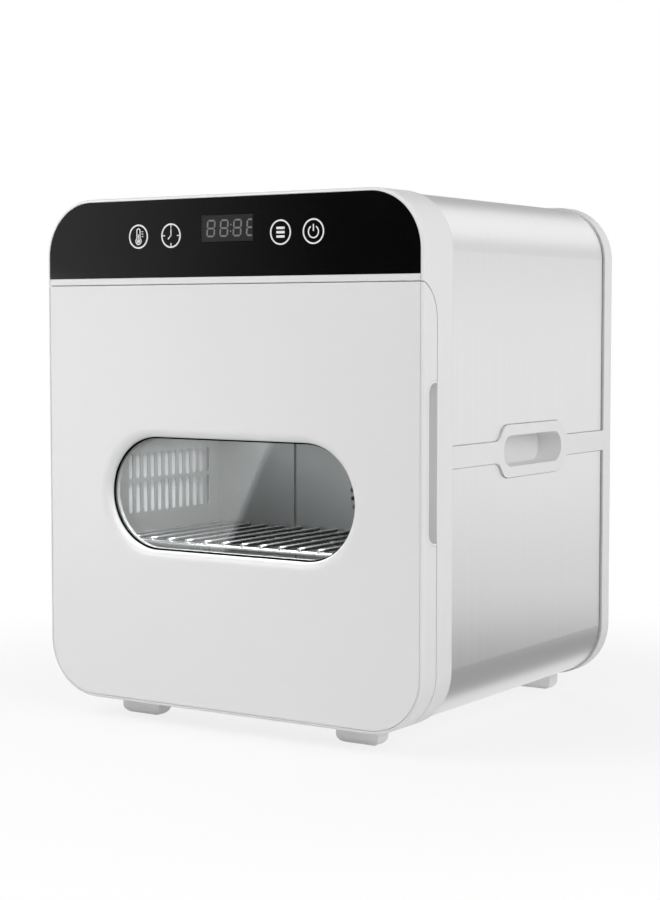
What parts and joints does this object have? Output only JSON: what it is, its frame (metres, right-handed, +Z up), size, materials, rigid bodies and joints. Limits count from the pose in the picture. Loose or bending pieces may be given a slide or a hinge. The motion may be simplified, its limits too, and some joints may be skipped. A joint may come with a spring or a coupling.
{
  "type": "hot-air sterilising cabinet",
  "caption": "White and brushed-steel benchtop hot-air sterilising cabinet with a glazed swing door, wire racks and a black touch panel.",
  "frame": {"origin": "centre of the footprint on the bench plane", "axes": "+Z up, front of the door towards -Y, +X to the viewer's right"},
  "size_m": [0.342, 0.306, 0.4025],
  "materials": {
    "white_shell": "satin white moulding",
    "white_front": "glossy white moulding",
    "black_panel": "gloss black",
    "smoked_window": "smoked, gloss",
    "digit_block": "matte dark grey",
    "circuit_board": "matte green laminate",
    "bright_metal": "bright plated",
    "brushed_wrap": "lengthwise brushed",
    "black_rubber": "matte black",
    "grey_cover": "matte light grey",
    "black_plastic": "matte black",
    "brass_contact": "plain brass",
    "chamber_steel": "satin stainless",
    "pale_sheet": "pale satin stainless",
    "polished_steel": "polished stainless",
    "sheet_metal": "plain sheet",
    "dark_metal": "dark grey metal",
    "clear_glass": "clear glass",
    "grey_grip": "matte mid grey",
    "grey_seal": "matte grey silicone",
    "rack_wire": "plated wire"
  },
  "bodies": {
    "cabinet": {"front_frame": "white_shell", "fascia_plate": "white_front", "control_panel": "black_panel", "display_window": "smoked_window", "display_module": "digit_block", "display_board": "circuit_board", "touch_pads": "bright_metal", "upper_wrap": "brushed_wrap", "lower_wrap": "brushed_wrap", "side_belt_left": "white_shell", "side_belt_right": "white_shell", "wrap_gasket": "black_rubber", "rear_frame": "white_shell", "rear_cover": "grey_cover", "rear_screws": "bright_metal", "power_inlet": "black_plastic", "inlet_pins": "brass_contact", "feet": "white_shell", "chamber_shell": "pale_sheet", "left_air_panel": "chamber_steel", "right_air_panel": "chamber_steel", "left_rack_rails": "chamber_steel", "right_rack_rails": "chamber_steel", "chamber_back": "polished_steel", "fan_cover": "polished_steel", "rear_bulkhead": "dark_metal", "fan_housing": "sheet_metal", "heater_ring": "dark_metal", "fan_motor": "dark_metal", "temperature_probe": "bright_metal", "power_board": "circuit_board", "board_parts": "black_plastic", "board_standoffs": "brass_contact", "frame_hinge_leaves": "bright_metal", "hinge_pins": "bright_metal", "door_strikes": "bright_metal"},
    "door": {"door_front_skin": "white_front", "door_shell": "white_shell", "door_liner": "grey_cover", "window_pane": "clear_glass", "inner_pane": "clear_glass", "window_gasket": "black_rubber", "door_grip": "grey_grip", "door_seal": "grey_seal", "door_hinge_leaves": "bright_metal", "door_magnets": "dark_metal"},
    "rack_lower": {"rack_lower": "rack_wire"},
    "rack_middle": {"rack_middle": "rack_wire"},
    "rack_upper": {"rack_upper": "rack_wire"},
    "fan": {"fan_impeller": "sheet_metal", "motor_shaft": "bright_metal"}
  },
  "joints": [
    {"name": "door_hinge", "type": "hinge", "parent": "cabinet", "child": "door", "pos_m": [-0.1678, -0.1341, 0.16], "axis": [0, 0, -1], "range_deg": [0, 110]},
    {"name": "rack_lower_slide", "type": "slide", "parent": "cabinet", "child": "rack_lower", "axis": [0, -1, 0], "range_m": [0, 0.1]},
    {"name": "rack_middle_slide", "type": "slide", "parent": "cabinet", "child": "rack_middle", "axis": [0, -1, 0], "range_m": [0, 0.1]},
    {"name": "rack_upper_slide", "type": "slide", "parent": "cabinet", "child": "rack_upper", "axis": [0, -1, 0], "range_m": [0, 0.1]},
    {"name": "fan_spin", "type": "hinge", "parent": "cabinet", "child": "fan", "pos_m": [0.038, 0.06, 0.17055], "axis": [0, 1, 0], "continuous": true}
  ],
  "couplings": [
    {"joint": "rack_lower_slide", "follows": "door_hinge", "m_per_rad": 0.052087},
    {"joint": "rack_middle_slide", "follows": "door_hinge", "m_per_rad": 0.052087},
    {"joint": "rack_upper_slide", "follows": "door_hinge", "m_per_rad": 0.052087}
  ]
}
